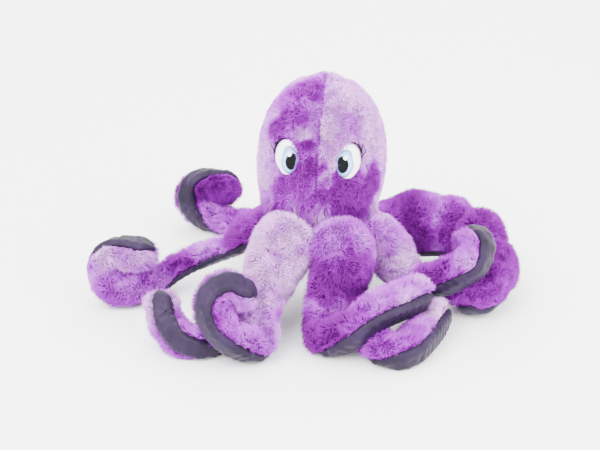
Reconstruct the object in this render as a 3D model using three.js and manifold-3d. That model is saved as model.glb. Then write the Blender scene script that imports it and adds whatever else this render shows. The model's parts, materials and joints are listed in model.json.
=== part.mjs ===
// Plush octopus toy, 43 cm across, as separate sewn and stuffed pieces.
// Millimetres, +Z up, origin on the floor under the middle of the object. The face looks along -Y.
//
// The head (mantle) is a pile-fabric dome made of a left and a right half that meet in a centre seam.
// It is closed below by a round base panel, stuffed, and holds a squeaker. Eight stuffed legs are sewn
// on under the base panel. Each leg is a pile-fabric cover, a smooth sole strip along its underside and
// its own stuffing, and it turns at its root seam.
import * as THREE from 'three';
import { mergeVertices } from 'three/addons/utils/BufferGeometryUtils.js';
import Module from 'manifold-3d';

// ---- driving dimensions ----
const GAP = 0.3;                 // clearance kept between pieces that touch
const SOLE_GAP = 0.7;            // a sole strip lies this far off its cover's flat side
const RIM_HEIGHT = 94;           // middle of the head's lower rim above the floor
const HEAD_TILT = 14;            // degrees that the head leans back
const HEAD_LEAN = 3.5;           // degrees that the head leans towards +X
const HEAD_TURN = -5;            // degrees that the face turns, towards -X
const HEAD_WALL = 3;             // pile fabric with its backing
const HEAD_SIDES = 24;           // facets round the head
const BASE_RADIUS = 49;
const BASE_THICKNESS = 3;
const POCKET_RADIUS = 20;        // pocket in the head's stuffing that takes the squeaker
const POCKET_TOP = 62;
const LEG_WALL = 1.8;            // pile fabric of a leg
const LEG_SIDES = 10;            // facets round a leg
const STUFFING_GAP = 1.6;        // a leg's stuffing stays this far inside its cover
const RING_STEP = 15;            // distance between the rings of a leg's skin
const SOLE_FLAT = 0.78;          // how far out a leg's flat underside lies, as a part of its radius
const SOLE_THICKNESS = 2;
const SOLE_WIDTH = 1.15;         // sole strip's width as a part of the leg's radius
const FLOOR_PRESS = 1;           // how far a leg is pressed flat where it rests on the floor
const ROOT_MOUTH = 0.5;          // open end of a leg cover at its root, as a part of its radius
const EYE_HEIGHT = 54.5;           // middle of an eye above the rim, along the head's axis
const EYE_OFFSET = 32;           // middle of an eye from the centre seam
const EYE_LAYER = 0.8;           // thickness of one layer of the eye's applique
const EYE_TILT = 6;              // degrees that the eyes lean together at the top

// Head outline: radius at a height above the rim, along the head's axis.
const HEAD_OUTLINE = [
  [50, 0], [53, 12], [56.5, 30], [58, 50], [57, 68], [53, 86],
  [46.5, 100.5], [38, 111.5], [28, 120.5], [17, 127], [7.5, 130.5], [0, 131.5],
];

// Legs: a line of points from the root to the tip. Each point is a place, the radius there and the
// side on which the sole lies. The first point's place is under the base panel and is worked out.
const LEGS = {
  front_left: {
    root: [-22.5, -42], fabric: 0xc9a4e0,
    line: [
      [null, 18.5, [0.1, 0.8, -0.6]],
      [[-38, -56, 70], 18, [0.2, 0.8, -0.6]],
      [[-49, -80, 52], 17, [0.2, 0.7, -0.7]],
      [[-56, -106, 33], 16, [0.2, 0.2, -0.95]],
      [[-58, -127, 18], 14.5, [0.1, -0.65, -0.75]],
      [[-80, -143, 32], 13.5, [-0.2, -0.8, -0.55]],
      [[-96, -136, 49], 13, [-0.65, -0.75, -0.1]],
      [[-97, -127, 64], 13, [-0.55, -0.65, 0.5]],
      [[-84, -121, 72], 13, [0, -0.5, 0.85]],
      [[-71, -118, 66], 12.5, [0.4, -0.5, 0.75]],
    ],
  },
  low_left: {
    root: [-18, -9], fabric: 0xd9bfea,
    line: [
      [null, 12, [0, 0.4, -1]],
      [[-32, -30, 44], 12, [0, 0.5, -0.8]],
      [[-57, -60, 18], 12, [0, 0.2, -1]],
      [[-78, -93, 13], 12.5, [0, -0.3, -1]],
      [[-97, -119, 13], 12.5, [0, -0.9, -0.3]],
      [[-117, -125, 14], 13, [0, -0.95, 0]],
      [[-134, -112, 19], 13, [0.05, -0.9, 0.3]],
      [[-144, -97, 28], 12.5, [0.1, -0.9, 0.35]],
      [[-146, -91, 35], 12, [0.1, -0.9, 0.35]],
    ],
  },
  side_left: {
    root: [-46, -4], fabric: 0xb77ad8,
    line: [
      [null, 13, [0, 0, -1]],
      [[-75, 8, 58], 12.5, [0, -0.4, -0.9]],
      [[-106, 14, 42], 12, [0, -0.5, -0.85]],
      [[-138, 10, 28], 12, [0, -0.4, -0.9]],
      [[-160, 0, 18], 13, [0, -0.2, -1]],
      [[-180, -14, 15.5], 15.5, [0, -0.1, -1]],
      [[-202, -18, 20], 15, [-0.6, 0.3, -0.7]],
      [[-212, -14, 35], 14.5, [-0.9, 0.5, 0]],
      [[-202, -9, 52], 15, [-0.3, 0.3, 0.9]],
      [[-176, -8, 52], 15.5, [0.1, -0.1, 1]],
    ],
  },
  back_left: {
    root: [-30, 34], fabric: 0xa55fcf,
    line: [
      [null, 14, [0, 0, -1]],
      [[-48, 80, 46], 14, [0, -0.3, -0.9]],
      [[-74, 124, 24], 14, [0, -0.3, -1]],
      [[-99, 149, 18], 14, [0, -0.4, -0.9]],
      [[-124, 160, 22], 14, [-0.3, -0.8, -0.5]],
      [[-138, 166, 38], 14, [-0.4, -0.9, 0]],
      [[-126, 169, 55], 14.5, [-0.6, -0.1, 0.75]],
      [[-101, 167, 53], 16, [0.1, 0.6, 0.8]],
    ],
  },
  front_right: {
    root: [22.5, -42], fabric: 0x9a3fc6,
    line: [
      [null, 18.5, [0, 0.8, -0.6]],
      [[21, -62, 70], 19, [0, 0.8, -0.6]],
      [[12, -85, 44], 18, [0, 0.6, -0.8]],
      [[7, -111, 17], 16.5, [0, -0.5, -0.9]],
      [[26, -130, 31], 15, [0.15, -0.8, -0.6]],
      [[50, -122, 46], 15, [0.3, -0.85, -0.45]],
      [[74, -104, 48], 14.5, [0.4, -0.8, -0.4]],
      [[90, -90, 48], 14, [0.45, -0.8, -0.35]],
    ],
  },
  low_right: {
    root: [18, -9], fabric: 0xa45ccc,
    line: [
      [null, 12, [0, 0.4, -1]],
      [[23, -34, 40], 12, [0, 0.5, -0.8]],
      [[31, -70, 16], 12, [0, 0.2, -1]],
      [[46, -103, 13], 12, [0, -0.2, -1]],
      [[59, -138, 13], 12, [0.1, -0.8, -0.6]],
      [[74, -142, 14], 13, [0.35, -0.85, -0.3]],
      [[92, -121, 15], 13, [0.6, -0.75, -0.15]],
      [[104, -99, 17], 12.5, [0.65, -0.7, -0.1]],
      [[111, -83, 19], 12, [0.65, -0.7, -0.1]],
    ],
  },
  side_right: {
    root: [46, -4], raised: true, fabric: 0xc79fe0,
    line: [
      [null, 15, [0, 0, -1]],
      [[63, -18, 61], 16.5, [0, 0, -1]],
      [[77, -31, 45], 16.5, [0.1, -0.3, -0.9]],
      [[94, -43, 36], 15, [0.2, -0.65, -0.75]],
      [[114, -52, 42], 14.5, [0.3, -0.75, -0.55]],
      [[133, -57, 54], 14.5, [0.5, -0.75, -0.4]],
      [[147, -58, 66], 14, [0.75, -0.65, -0.15]],
      [[151, -51, 77], 13, [0.7, -0.4, 0.6]],
      [[149, -38, 79], 12, [0.2, 0.2, 0.95]],
      [[145, -28, 71], 11.5, [0.1, 0.8, 0.6]],
    ],
  },
  back_right: {
    root: [30, 34], fabric: 0xa863cf,
    line: [
      [null, 14, [0, 0, -1]],
      [[58, 52, 49], 21, [0, 0, -1]],
      [[88, 64, 44], 27, [0, 0, -1]],
      [[122, 66, 46], 28.5, [0, 0, -1]],
      [[153, 52, 43], 25.5, [0, 0, -1]],
      [[172, 21, 32], 19.5, [0.2, 0, -1]],
      [[167, -14, 26], 23, [0.3, -0.3, -0.9]],
      [[152, -37, 26], 24.5, [0.2, -0.4, -0.9]],
    ],
  },
};

const COLOURS = {
  plush_purple: 0xa65bd0,
  plush_lavender: 0xd6bde8,
  sole: 0x5d4a86,
  stuffing: 0xf4f2ee,
  squeaker: 0xf0efe9,
  reed: 0xd9423a,
  eye_white: 0xf6f4fa,
  eye_iris: 0x9fc3ea,
  eye_dark: 0x14121a,
};

const radians = THREE.MathUtils.degToRad;
const wasm = await Module();
wasm.setup();

const object = new THREE.Group();
const head = new THREE.Group();
head.position.set(0, 0, RIM_HEIGHT);
head.rotation.set(-radians(HEAD_TILT), radians(HEAD_LEAN), radians(HEAD_TURN));
head.updateMatrix();
object.add(head);

function cloth(color, roughness = 0.9) {
  return new THREE.MeshStandardMaterial({ color, roughness, metalness: 0 });
}

function addPiece(group, name, geometry, material) {
  const mesh = new THREE.Mesh(geometry, material);
  mesh.name = name;
  group.add(mesh);
  return mesh;
}

// ---- solids ----

function toSolid(geometry) {
  const bare = geometry.clone();
  bare.deleteAttribute('normal');
  bare.deleteAttribute('uv');
  const merged = mergeVertices(bare, 1e-4);
  const corners = merged.index.array;
  const kept = [];
  for (let i = 0; i < corners.length; i += 3) {
    const [a, b, c] = [corners[i], corners[i + 1], corners[i + 2]];
    if (a !== b && b !== c && c !== a) kept.push(a, b, c);
  }
  return new wasm.Manifold(new wasm.Mesh({
    numProp: 3,
    vertProperties: Float32Array.from(merged.attributes.position.array),
    triVerts: Uint32Array.from(kept),
  }));
}

function toGeometry(solid) {
  const mesh = solid.getMesh();
  const geometry = new THREE.BufferGeometry();
  geometry.setAttribute('position', new THREE.BufferAttribute(Float32Array.from(mesh.vertProperties), 3));
  geometry.setIndex(Array.from(mesh.triVerts));
  geometry.computeVertexNormals();
  return geometry;
}

function aboveFloor(solid) {
  return solid.trimByPlane([0, 0, 1], 0);
}

// Turns an outline of [radius, height] points round the Z axis.
function turned(outline, sides) {
  const points = outline.map(([radius, height]) => new THREE.Vector2(radius, height));
  return new THREE.LatheGeometry(points, sides).rotateX(Math.PI / 2);
}

function block(width, depth, height, x, y, z) {
  return toSolid(new THREE.BoxGeometry(width, depth, height).translate(x, y, z));
}

// ---- head ----

// The head's dome, moved outwards by `offset` and reaching down to `floor`.
function dome(offset, floor) {
  const axis = new THREE.Vector2(0, 1);
  const moved = HEAD_OUTLINE.map(([radius, height], i) => {
    const before = HEAD_OUTLINE[Math.max(i - 1, 0)];
    const after = HEAD_OUTLINE[Math.min(i + 1, HEAD_OUTLINE.length - 1)];
    const run = new THREE.Vector2(after[0] - before[0], after[1] - before[1]).normalize();
    const out = radius === 0 ? axis : new THREE.Vector2(run.y, -run.x);
    return [Math.max(radius + out.x * offset, 0), height + out.y * offset];
  });
  const first = moved[0];
  const outline = [[0, floor], [first[0], floor], ...moved.slice(1)];
  return toSolid(turned(outline, HEAD_SIDES));
}

function headHalf(side) {
  const half = block(200, 200, 400, side * (100 + GAP / 2), 0, 100);
  return dome(0, 0).subtract(dome(-HEAD_WALL, -10)).intersect(half);
}

function headStuffing() {
  const pocket = toSolid(new THREE.CylinderGeometry(POCKET_RADIUS, POCKET_RADIUS, POCKET_TOP + 10, 20)
    .rotateX(Math.PI / 2).translate(0, 0, (POCKET_TOP - 10) / 2));
  return dome(-HEAD_WALL - GAP, GAP).subtract(pocket);
}

// A hollow case, open at its neck, that stands in the pocket with the neck down.
function squeakerCase() {
  const base = POCKET_TOP - 27;
  return turned([
    [0, base + 24.5], [12, base + 24.5], [16, base + 20], [16, base + 8], [12, base + 4.5],
    [4.7, base + 3.5], [4.7, base - 6], [6.5, base - 6], [6.5, base + 2],
    [13, base + 3], [17.5, base + 7], [17.5, base + 21], [13, base + 26], [0, base + 26],
  ], 20);
}

function squeakerReed() {
  const base = POCKET_TOP - 27;
  return new THREE.CylinderGeometry(4.3, 4.3, 13, 16).rotateX(Math.PI / 2).translate(0, 0, base - 1);
}

// A layer of applique: an outline laid on the dome at an eye and cut from a skin of even thickness.
function eyeLayer(side, outline, level) {
  const low = GAP + level * (EYE_LAYER + GAP);
  const skin = dome(low + EYE_LAYER, -5).subtract(dome(low, -10));
  const stamp = new THREE.ExtrudeGeometry(outline, { depth: 60, bevelEnabled: false, curveSegments: 10 });
  stamp.rotateX(Math.PI / 2);
  stamp.rotateY(side * radians(EYE_TILT));
  const turn = Math.asin(EYE_OFFSET / 58);
  stamp.translate(0, -20, 0).rotateZ(side * turn).translate(0, 0, EYE_HEIGHT);
  return skin.intersect(toSolid(stamp));
}

function ellipse(inward, up, halfWidth, halfHeight, side) {
  const outline = new THREE.Shape();
  outline.absellipse(-side * inward, up, halfWidth, halfHeight, 0, 2 * Math.PI);
  return outline;
}

// The lash line: a crescent over the outer top of the eye.
function lashOutline(side) {
  const outline = new THREE.Shape();
  const steps = 8;
  const arc = (halfWidth, halfHeight, i) => {
    const angle = radians(20 + (80 * i) / steps);
    return [side * halfWidth * Math.cos(angle), halfHeight * Math.sin(angle)];
  };
  outline.moveTo(...arc(13.2, 17.7, 0));
  for (let i = 1; i <= steps; i += 1) outline.lineTo(...arc(13.2, 17.7, i));
  for (let i = steps - 1; i > 0; i -= 1) outline.lineTo(...arc(15.4, 20, i));
  outline.closePath();
  return outline;
}

function buildHead() {
  addPiece(head, 'head_left_half', toGeometry(headHalf(-1)), cloth(COLOURS.plush_purple));
  addPiece(head, 'head_right_half', toGeometry(headHalf(1)), cloth(COLOURS.plush_lavender));
  addPiece(head, 'head_stuffing', toGeometry(headStuffing()), cloth(COLOURS.stuffing));
  const panel = new THREE.CylinderGeometry(BASE_RADIUS, BASE_RADIUS, BASE_THICKNESS, HEAD_SIDES)
    .rotateX(Math.PI / 2).translate(0, 0, -GAP - BASE_THICKNESS / 2);
  addPiece(head, 'base_panel', panel, cloth(COLOURS.sole, 0.6));
  addPiece(head, 'squeaker_case', squeakerCase(), cloth(COLOURS.squeaker, 0.4));
  addPiece(head, 'squeaker_reed', squeakerReed(), cloth(COLOURS.reed, 0.4));
  for (const [word, side] of [['left', -1], ['right', 1]]) {
    const layers = [
      [`eye_white_${word}`, ellipse(0, 0, 12.5, 17, side), 0, COLOURS.eye_white],
      [`eye_lash_${word}`, lashOutline(side), 0, COLOURS.eye_dark],
      [`eye_iris_${word}`, ellipse(3.5, -2.5, 8.6, 13.3, side), 1, COLOURS.eye_iris],
      [`eye_pupil_${word}`, ellipse(6, -3.6, 5.4, 8.6, side), 2, COLOURS.eye_dark],
      [`eye_glint_${word}`, ellipse(4.4, 2.8, 2.5, 2.9, side), 3, COLOURS.eye_white],
    ];
    for (const [name, outline, level, color] of layers) {
      addPiece(head, name, toGeometry(eyeLayer(side, outline, level)), cloth(color, 0.5));
    }
  }
}

// ---- legs ----

// The middle line of a leg with its radius and its sole side at each distance along it.
class LegLine {
  constructor(points) {
    const places = points.map(([place]) => new THREE.Vector3(...place));
    this.middle = new THREE.CatmullRomCurve3(places, false, 'centripetal');
    this.radii = new THREE.CatmullRomCurve3(points.map(([, radius]) => new THREE.Vector3(radius, 0, 0)));
    this.soles = new THREE.CatmullRomCurve3(points.map(([, , side]) => new THREE.Vector3(...side).normalize()));
    this.middle.arcLengthDivisions = 400;
    this.length = this.middle.getLength();
  }

  at(distance) {
    const along = THREE.MathUtils.clamp(distance, 0, this.length);
    const t = this.middle.getUtoTmapping(along / this.length);
    const tangent = this.middle.getTangent(t);
    const sole = this.soles.getPoint(t);
    sole.addScaledVector(tangent, -sole.dot(tangent)).normalize();
    const across = new THREE.Vector3().crossVectors(sole, tangent);
    const place = this.middle.getPoint(t).addScaledVector(tangent, distance - along);
    return { place, tangent, sole, across, radius: this.radii.getPoint(t).x };
  }

  // Bends a straight piece, drawn along +Z with its sole towards +Y, along the leg.
  bend(geometry) {
    const position = geometry.attributes.position;
    for (let i = 0; i < position.count; i += 1) {
      const station = this.at(position.getZ(i));
      const moved = station.place
        .addScaledVector(station.across, position.getX(i))
        .addScaledVector(station.sole, position.getY(i));
      position.setXYZ(i, moved.x, moved.y, moved.z);
    }
    return geometry;
  }

  // A round-ended leg, thinner than the leg's own radius by `inset`, with a flat along the sole side.
  tube(inset) {
    const ends = [radians(-90), radians(-50), radians(-20)];
    const rootRadius = this.at(0).radius - inset;
    const tipRadius = this.at(this.length).radius - inset;
    const rings = Math.round(this.length / RING_STEP);
    const outline = ends.map((a) => [rootRadius * Math.cos(a), rootRadius * Math.sin(a)]);
    for (let i = 0; i <= rings; i += 1) {
      const distance = (this.length * i) / rings;
      outline.push([this.at(distance).radius - inset, distance]);
    }
    const tip = ends.map((a) => [tipRadius * Math.cos(a), this.length - tipRadius * Math.sin(a)]);
    outline.push(...tip.reverse());
    outline[0][0] = 0;
    outline[outline.length - 1][0] = 0;
    const geometry = turned(outline, LEG_SIDES);
    const position = geometry.attributes.position;
    for (let i = 0; i < position.count; i += 1) {
      const flat = this.at(position.getZ(i)).radius * SOLE_FLAT - inset;
      position.setY(i, Math.min(position.getY(i), flat));
    }
    return geometry;
  }

  cover() {
    const mouth = new THREE.CylinderGeometry(1, 1, 2, LEG_SIDES).rotateX(Math.PI / 2);
    const rootRadius = this.at(0).radius;
    mouth.scale(rootRadius * ROOT_MOUTH, rootRadius * ROOT_MOUTH, rootRadius);
    mouth.translate(0, 0, -rootRadius);
    return aboveFloor(toSolid(this.bend(this.tube(0))))
      .subtract(toSolid(this.bend(this.tube(LEG_WALL))))
      .subtract(toSolid(this.bend(mouth)));
  }

  // The strip has its rings where the skin has them, so the two bend alike, and a blunt end past the tip.
  soleStrip() {
    const rings = Math.round(this.length / RING_STEP);
    const tail = 0.45 * this.at(this.length).radius;
    const strip = new THREE.BoxGeometry(1, 1, rings + 1, 1, 1, rings + 1).translate(0, 0, (rings + 1) / 2);
    const position = strip.attributes.position;
    for (let i = 0; i < position.count; i += 1) {
      const ring = position.getZ(i);
      const distance = ring > rings + 0.5 ? this.length + tail : (this.length * ring) / rings;
      const { radius } = this.at(distance);
      position.setX(i, position.getX(i) * radius * SOLE_WIDTH);
      position.setY(i, radius * SOLE_FLAT + SOLE_GAP + SOLE_THICKNESS * (position.getY(i) + 0.5));
      position.setZ(i, distance);
    }
    return this.bend(strip);
  }
}

// The middle of a leg's root, just under the base panel at [x, y] on the panel.
function rootPlace([x, y], radius) {
  const below = GAP + BASE_THICKNESS + 2 * GAP + radius;
  return new THREE.Vector3(x, y, -below).applyMatrix4(head.matrix).toArray();
}

function lowest(geometry) {
  geometry.computeBoundingBox();
  return geometry.boundingBox.min.z;
}

// Lets a leg down onto the floor and a little into it, where it is cut flat.
// Its height changes from nothing at the root to all of it past the shank.
function settle(points) {
  let settled = points;
  for (let pass = 0; pass < 4; pass += 1) {
    const line = new LegLine(settled);
    const drop = Math.min(lowest(line.bend(line.tube(0))), lowest(line.soleStrip())) + FLOOR_PRESS;
    settled = settled.map(([[x, y, z], radius, side], i) => {
      const share = Math.min(i / 2, 1);
      return [[x, y, z - drop * share], radius, side];
    });
  }
  return settled;
}

function buildLeg(name, leg) {
  const points = leg.line.map(([place, radius, side]) => [place ?? rootPlace(leg.root, radius), radius, side]);
  const line = new LegLine(leg.raised ? points : settle(points));
  const stuffing = line.bend(line.tube(LEG_WALL + STUFFING_GAP));
  addPiece(object, `${name}_leg_cover`, toGeometry(line.cover()), cloth(leg.fabric));
  const sole = toSolid(line.soleStrip()).subtract(toSolid(line.bend(line.tube(-GAP))));
  addPiece(object, `${name}_leg_sole`, toGeometry(aboveFloor(sole)), cloth(COLOURS.sole, 0.55));
  addPiece(object, `${name}_leg_stuffing`, stuffing, cloth(COLOURS.stuffing));
}

buildHead();
for (const [name, leg] of Object.entries(LEGS)) buildLeg(name, leg);

// The origin is under the middle of the whole object.
const middle = new THREE.Box3().setFromObject(object, true).getCenter(new THREE.Vector3());
object.position.set(-middle.x, -middle.y, 0);

export default object;
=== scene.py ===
"""Plush octopus toy: the sewn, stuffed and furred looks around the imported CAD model."""

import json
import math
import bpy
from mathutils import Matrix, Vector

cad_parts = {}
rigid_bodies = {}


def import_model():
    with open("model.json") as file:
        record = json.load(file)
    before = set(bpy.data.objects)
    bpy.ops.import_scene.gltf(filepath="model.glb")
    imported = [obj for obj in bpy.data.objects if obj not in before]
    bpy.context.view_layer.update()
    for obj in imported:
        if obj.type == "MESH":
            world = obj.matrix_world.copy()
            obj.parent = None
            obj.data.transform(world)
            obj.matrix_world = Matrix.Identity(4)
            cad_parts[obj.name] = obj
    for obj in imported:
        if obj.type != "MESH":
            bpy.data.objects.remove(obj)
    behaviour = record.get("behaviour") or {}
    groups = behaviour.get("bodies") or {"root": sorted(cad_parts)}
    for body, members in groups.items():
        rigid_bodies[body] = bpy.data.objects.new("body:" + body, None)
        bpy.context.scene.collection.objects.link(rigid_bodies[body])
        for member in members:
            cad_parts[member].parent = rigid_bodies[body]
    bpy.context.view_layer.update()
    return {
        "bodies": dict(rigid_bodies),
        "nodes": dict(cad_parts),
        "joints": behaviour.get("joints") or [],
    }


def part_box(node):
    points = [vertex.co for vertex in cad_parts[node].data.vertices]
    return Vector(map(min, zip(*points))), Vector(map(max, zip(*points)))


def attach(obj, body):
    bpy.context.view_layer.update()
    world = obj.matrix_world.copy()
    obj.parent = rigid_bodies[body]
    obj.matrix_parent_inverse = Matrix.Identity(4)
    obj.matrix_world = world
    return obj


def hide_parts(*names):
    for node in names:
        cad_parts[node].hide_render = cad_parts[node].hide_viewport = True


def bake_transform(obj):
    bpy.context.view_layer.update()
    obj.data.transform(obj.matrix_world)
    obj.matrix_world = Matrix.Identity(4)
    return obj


bl_info = {
    "name": "Plush Octopus Toy",
    "version": (1, 0, 0),
    "blender": (4, 5, 0),
    "location": "View3D > Sidebar > Plush Octopus",
    "description": "Stuffed pile-fabric octopus with sewn-on eyes and curled legs with satin soles",
    "category": "Object",
}

import bpy
import numpy as np
from mathutils import Vector, noise
from mathutils.bvhtree import BVHTree

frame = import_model()

MM = 0.001
JOINTS = frame["joints"]
LEG_NAMES = [body[:-4] for body in frame["bodies"] if body.endswith("_leg")]

# Dye along each leg: distance from the root in mm, and how strong the purple is there.
LEG_DYE = {
    "front_left": [(0, 0.10), (30, 0.03), (55, 0.08), (85, 0.28), (110, 0.32), (140, 0.45), (180, 0.62), (218, 0.25)],
    "low_left": [(0, 0.3), (100, 0.4), (150, 0.3), (185, 0.5), (210, 0.4), (233, 0.12)],
    "side_left": [(0, 0.7), (15, 0.85), (42, 0.85), (55, 0.4), (80, 0.25), (92, 0.5), (102, 0.8),
                  (112, 0.65), (125, 0.3), (160, 0.4), (180, 0.45), (205, 0.3), (220, 0.12), (246, 0.2)],
    "back_left": [(0, 0.6), (140, 0.55), (165, 0.45), (185, 0.3), (200, 0.6), (215, 0.8), (245, 0.65)],
    "front_right": [(0, 0.45), (12, 0.4), (22, 0.65), (34, 1.0), (50, 0.95), (60, 0.6), (68, 0.35), (76, 0.7),
                    (86, 1.0), (122, 1.0), (136, 0.65), (152, 0.4), (175, 0.25), (207, 0.3)],
    "low_right": [(0, 0.4), (120, 0.5), (170, 0.6), (200, 0.45), (225, 0.3), (240, 0.03), (248, 0.0)],
    "side_right": [(0, 0.25), (20, 0.35), (35, 0.1), (50, 0.04), (62, 0.2), (78, 0.7), (100, 0.8),
                   (115, 0.5), (135, 0.35), (174, 0.5)],
    "back_right": [(0, 0.5), (60, 0.8), (78, 0.95), (92, 0.8), (104, 0.4), (118, 0.45), (134, 0.8),
                   (150, 0.85), (165, 0.6), (180, 0.8), (192, 1.0), (208, 0.85), (225, 0.7), (245, 0.65)],
}

# Patches of dye on the head: a place on its own axes and a reach in mm, and how strong the purple is.
HEAD_DYE = [
    (-56, -21, 41, 24, 0.06), (-50, -30, 62, 14, 0.12), (-17, -29, 115, 19, 0.8), (-31, -34, 104, 12, 0.5),
    (-38, -42, 83, 15, 0.9), (-22, -48, 91, 12, 0.65), (-13, -58, 65, 11, 0.85), (-16, -54, 81, 9, 0.06),
    (-17, -57, 37, 13, 0.95), (-27, -54, 32, 15, 0.75), (-34, -47, 20, 14, 0.6), (-35, -42, 5, 11, 0.95),
    (-11, -56, 16, 13, 0.65), (-2, -60, 46, 8, 0.95),
    (54, -26, 66, 18, 0.1), (30, -46, 87, 13, 0.4), (8, -59, 70, 9, 0.4), (29, -52, 37, 14, 0.85),
    (31, -48, 19, 19, 1.0), (50, -33, 33, 15, 0.85), (13, -56, 20, 14, 0.85), (45, -38, 13, 12, 0.75),
    (0, 56, 80, 20, 0.8), (-36, 38, 52, 18, 0.75), (38, 40, 30, 19, 0.85), (30, 34, 103, 14, 0.6),
    (-30, 30, 108, 12, 0.55), (12, 56, 20, 16, 0.6), (-48, 20, 12, 14, 0.7), (56, 12, 76, 12, 0.5),
]

# How far each leg's cloth stands proud of its CAD cover, along the leg and more at its root, in mm.
LEG_FULLNESS = {
    "front_left": (2.6, 9.0), "low_left": (2.4, 4.0), "side_left": (1.2, 2.0), "back_left": (2.6, 0.0),
    "front_right": (2.4, 8.5), "low_right": (3.4, 4.0), "side_right": (2.8, 5.5), "back_right": (2.2, 2.0),
}

# Folds across each leg's pile side: distance from the root, depth and width in mm; a bulge is negative.
LEG_FOLDS = {
    "front_left": ((148, 2.5, 6), (192, 2.5, 6)), "side_left": ((58, 1.5, 8), (203, 3.5, 6)),
    "back_left": ((206, 2.0, 6), (230, 4.0, 5)), "front_right": ((84, 2.0, 7), (142, 2.0, 7)),
    "side_right": ((62, 2.0, 7), (118, 2.5, 6)),
    "back_right": ((88, -4.5, 13), (112, 3.0, 7), (138, 7.0, 6), (156, -4.5, 11), (178, 3.5, 6)),
}

# Eyes: side, turn from the centre seam in degrees, height up the head in mm.
EYES = {"left": (-1, 32.5, 54.5), "right": (1, 30.5, 55.0)}


def mixed(a, b, part):
    return a + (b - a) * part


def eased(value):
    value = np.clip(value, 0.0, 1.0)
    return value * value * (3.0 - 2.0 * value)


def unit(rows):
    rows = np.asarray(rows, float)
    return rows / np.maximum(np.linalg.norm(rows, axis=-1, keepdims=True), 1e-9)


def smooth_rows(rows, where):
    """A smooth curve through evenly spaced rows."""
    rows = np.asarray(rows, float)
    last = len(rows) - 1
    padded = np.vstack([2 * rows[0] - rows[1], rows, 2 * rows[-1] - rows[-2]])
    where = np.clip(where, 0, last - 1e-6)
    i = where.astype(int)
    f = (where - i)[:, None]
    a, b, c, d = padded[i], padded[i + 1], padded[i + 2], padded[i + 3]
    return 0.5 * (2 * b + (c - a) * f + (2 * a - 5 * b + 4 * c - d) * f**2 + (3 * b - a - 3 * c + d) * f**3)


def soft_noise(points, size, seed):
    """Smooth noise from -1 to 1 at each point in mm, with features about `size` mm wide."""
    shift = Vector((seed * 17.3, seed * 5.7, seed * 11.1))
    return np.array([noise.noise(Vector(p) / size + shift) for p in points])


def soft_vectors(points, size, seed):
    shift = Vector((seed * 13.1, seed * 3.9, seed * 7.7))
    return np.array([noise.noise_vector(Vector(p) / size + shift) for p in points])


# ---- objects and meshes ----


def select_only(*objects):
    if bpy.context.mode != "OBJECT":
        bpy.ops.object.mode_set(mode="OBJECT")
    for obj in bpy.context.view_layer.objects:
        obj.select_set(False)
    for obj in objects:
        obj.select_set(True)
    bpy.context.view_layer.objects.active = objects[0]


def places(mesh):
    rows = np.empty(len(mesh.vertices) * 3)
    mesh.vertices.foreach_get("co", rows)
    return rows.reshape(-1, 3)


def set_places(mesh, rows):
    mesh.vertices.foreach_set("co", np.asarray(rows, float).ravel())
    mesh.update()


def merged_copy(node, name):
    """A copy of a CAD node with its loose triangles joined."""
    obj = bpy.data.objects.new(name, frame["nodes"][node].data.copy())
    bpy.context.scene.collection.objects.link(obj)
    select_only(obj)
    bpy.ops.object.mode_set(mode="EDIT")
    bpy.ops.mesh.select_all(action="SELECT")
    bpy.ops.mesh.remove_doubles(threshold=1e-5)
    bpy.ops.object.mode_set(mode="OBJECT")
    return obj


def discard(obj):
    mesh = obj.data
    bpy.data.objects.remove(obj)
    bpy.data.meshes.remove(mesh)


def apply_modifiers(obj):
    select_only(obj)
    for modifier in list(obj.modifiers):
        bpy.ops.object.modifier_apply(modifier=modifier.name)


def outward(obj):
    select_only(obj)
    bpy.ops.object.mode_set(mode="EDIT")
    bpy.ops.mesh.select_all(action="SELECT")
    bpy.ops.mesh.normals_make_consistent(inside=False)
    bpy.ops.object.mode_set(mode="OBJECT")


def dressed(obj, material):
    obj.data.materials.clear()
    obj.data.materials.append(material)
    obj.data.polygons.foreach_set("use_smooth", np.ones(len(obj.data.polygons), bool))
    return obj


def triangles(mesh):
    mesh.calc_loop_triangles()
    rows = np.empty(len(mesh.loop_triangles) * 3, int)
    mesh.loop_triangles.foreach_get("vertices", rows)
    return rows.reshape(-1, 3)


def ball(name, segments, rings):
    select_only(bpy.context.view_layer.objects[0])
    bpy.ops.mesh.primitive_uv_sphere_add(segments=segments, ring_count=rings, radius=1.0)
    obj = bpy.context.active_object
    obj.name = obj.data.name = name
    return obj


def ball_steps(obj, rings):
    """For each vertex of a new ball: its ring counted from the lower pole, and its angle round it."""
    rows = places(obj.data)
    ring = rings * (1 - np.arccos(np.clip(rows[:, 2], -1, 1)) / math.pi)
    angle = np.arctan2(rows[:, 0], rows[:, 1])
    return ring, angle


# ---- settings ----


def length_setting(label, description, default_mm):
    return bpy.props.FloatProperty(
        name=label, description=description, default=default_mm * MM, unit="LENGTH", subtype="DISTANCE")


def colour_setting(label, description, default):
    return bpy.props.FloatVectorProperty(
        name=label, description=description, default=default, size=3, min=0, max=1, subtype="COLOR")


class PlushStageSettings(bpy.types.PropertyGroup):
    """Sizes of the stage"""
    lens: bpy.props.FloatProperty(name="Lens", description="Focal length in mm", default=84.0)
    camera_height: length_setting("Camera height", "Camera above the floor", 633.4)
    camera_distance: length_setting("Camera distance", "Camera in front of the toy's middle", 1263.05)
    camera_down: bpy.props.FloatProperty(
        name="Camera slope", description="How far the camera looks down", default=math.radians(24),
        subtype="ANGLE")
    floor_size: length_setting("Floor size", "Side of the square floor", 9000)
    floor_colour: colour_setting("Floor", "Floor colour", (0.97, 0.97, 0.975))


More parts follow.
